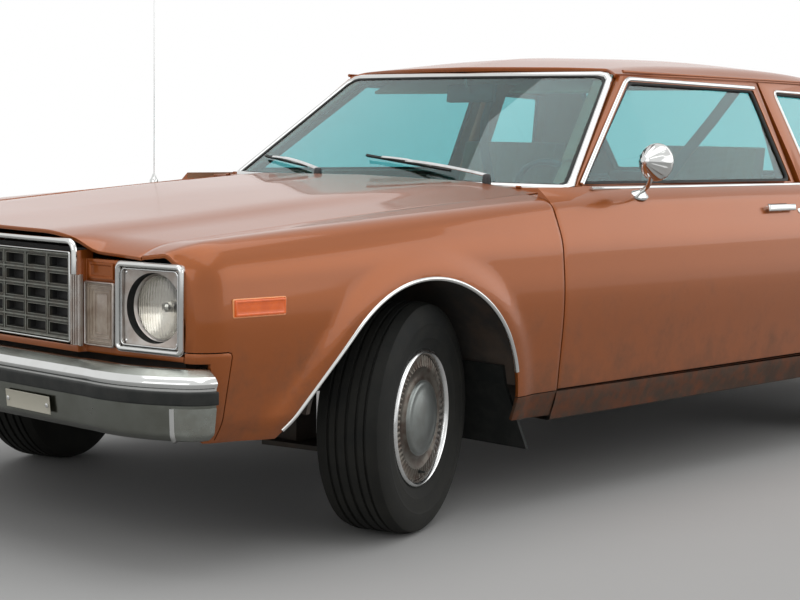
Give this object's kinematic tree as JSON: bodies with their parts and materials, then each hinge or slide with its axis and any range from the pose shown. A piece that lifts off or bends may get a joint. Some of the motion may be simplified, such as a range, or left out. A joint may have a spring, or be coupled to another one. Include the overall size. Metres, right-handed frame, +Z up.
{
  "type": "compact car",
  "caption": "Two-door compact family car with chrome bumpers, square grille, round headlamps, opening doors, hood and trunk, turning wheels and steering.",
  "frame": {"origin": "on the ground under the middle of the car's bounding box", "axes": "+Z up, the nose faces -Y, +X is the driver's (left) side"},
  "size_m": [1.9362, 5.017, 1.69],
  "materials": {
    "paint": "metallic, weathered",
    "body_steel": "matt underbody paint",
    "glass": "clear, slightly tinted",
    "chrome": "polished, dulled in places",
    "trim_black": "matt",
    "grille_silver": "plated, dark inside",
    "lamp_clear": "ribbed lens",
    "lamp_amber": "ribbed lens",
    "lamp_red": "ribbed lens",
    "wiper_steel": "satin",
    "engine": "rough",
    "chassis": "rough, dirty",
    "exhaust_steel": "rusty",
    "interior": "matt",
    "seat_cloth": "woven",
    "wheel_steel": "painted steel with bright trim",
    "tyre": "worn"
  },
  "bodies": {
    "body": {"fender_left": "paint", "fender_right": "paint", "header_panel": "paint", "quarter_left": "paint", "quarter_right": "paint", "quarter_windows": "glass", "roof": "paint", "windshield": "glass", "rear_window": "glass", "windshield_pillars": "paint", "cowl": "body_steel", "front_aprons": "body_steel", "front_crossmember": "body_steel", "engine_block": "engine", "radiator_support": "body_steel", "grille": "grille_silver", "headlamp_bezels": "chrome", "front_lamps": "lamp_clear", "side_markers": "lamp_amber", "front_bumper": "chrome", "rear_bumper": "chrome", "bumper_strips": "trim_black", "floor_pan": "body_steel", "rockers": "paint", "tail_panel": "paint", "tail_lamps": "lamp_red", "deck_panel": "paint", "rear_axle": "chassis", "leaf_springs": "chassis", "exhaust": "exhaust_steel", "fuel_tank": "body_steel", "steering_column": "interior", "dashboard": "interior", "front_seats": "seat_cloth", "rear_seat": "seat_cloth", "mud_flaps": "trim_black", "antenna": "chrome", "wipers": "wiper_steel"},
    "hood_lid": {"hood": "paint"},
    "trunk": {"trunk_lid": "paint"},
    "left_door": {"door_left": "paint", "door_glass_left": "glass", "door_fittings_left": "chrome"},
    "right_door": {"door_right": "paint", "door_glass_right": "glass", "door_fittings_right": "chrome"},
    "left_knuckle": {"knuckle_left": "chassis"},
    "right_knuckle": {"knuckle_right": "chassis"},
    "front_left_wheel": {"rim_front_left": "wheel_steel", "tyre_front_left": "tyre"},
    "front_right_wheel": {"rim_front_right": "wheel_steel", "tyre_front_right": "tyre"},
    "rear_left_wheel": {"rim_rear_left": "wheel_steel", "tyre_rear_left": "tyre"},
    "rear_right_wheel": {"rim_rear_right": "wheel_steel", "tyre_rear_right": "tyre"},
    "hand_wheel": {"steering_wheel": "interior"}
  },
  "joints": [
    {"name": "left_door_hinge", "type": "hinge", "parent": "body", "child": "left_door", "pos_m": [0.905, -0.9665, 0.65], "axis": [0, 0, -1], "range_deg": [0, 65]},
    {"name": "right_door_hinge", "type": "hinge", "parent": "body", "child": "right_door", "pos_m": [-0.905, -0.9665, 0.65], "axis": [0, 0, 1], "range_deg": [0, 65]},
    {"name": "hood_hinge", "type": "hinge", "parent": "body", "child": "hood_lid", "pos_m": [0, -0.9345, 0.94], "axis": [-1, 0, 0], "range_deg": [0, 52]},
    {"name": "trunk_hinge", "type": "hinge", "parent": "body", "child": "trunk", "pos_m": [0, 1.5035, 0.945], "axis": [1, 0, 0], "range_deg": [0, 68]},
    {"name": "steer_left", "type": "hinge", "parent": "body", "child": "left_knuckle", "pos_m": [0.696, -1.5835, 0.32], "axis": [0, 0, 1], "range_deg": [-55, 15]},
    {"name": "steer_right", "type": "hinge", "parent": "body", "child": "right_knuckle", "pos_m": [-0.696, -1.5835, 0.32], "axis": [0, 0, 1], "range_deg": [-55, 15]},
    {"name": "hand_wheel_turn", "type": "hinge", "parent": "body", "child": "hand_wheel", "pos_m": [0.37, -0.3585, 0.845], "axis": [0, 0.8988, 0.4384], "range_deg": [-880, 240]},
    {"name": "front_left_spin", "type": "hinge", "parent": "left_knuckle", "child": "front_left_wheel", "pos_m": [0.75802, -1.56093, 0.32], "axis": [0.9397, 0.342, 0], "continuous": true},
    {"name": "front_right_spin", "type": "hinge", "parent": "right_knuckle", "child": "front_right_wheel", "pos_m": [-0.75802, -1.60607, 0.32], "axis": [0.9397, 0.342, 0], "continuous": true},
    {"name": "rear_left_spin", "type": "hinge", "parent": "body", "child": "rear_left_wheel", "pos_m": [0.743, 1.1775, 0.32], "axis": [1, 0, 0], "continuous": true},
    {"name": "rear_right_spin", "type": "hinge", "parent": "body", "child": "rear_right_wheel", "pos_m": [-0.743, 1.1775, 0.32], "axis": [1, 0, 0], "continuous": true}
  ],
  "couplings": [
    {"joint": "steer_right", "follows": "steer_left", "ratio": 1},
    {"joint": "hand_wheel_turn", "follows": "steer_left", "ratio": 16}
  ]
}
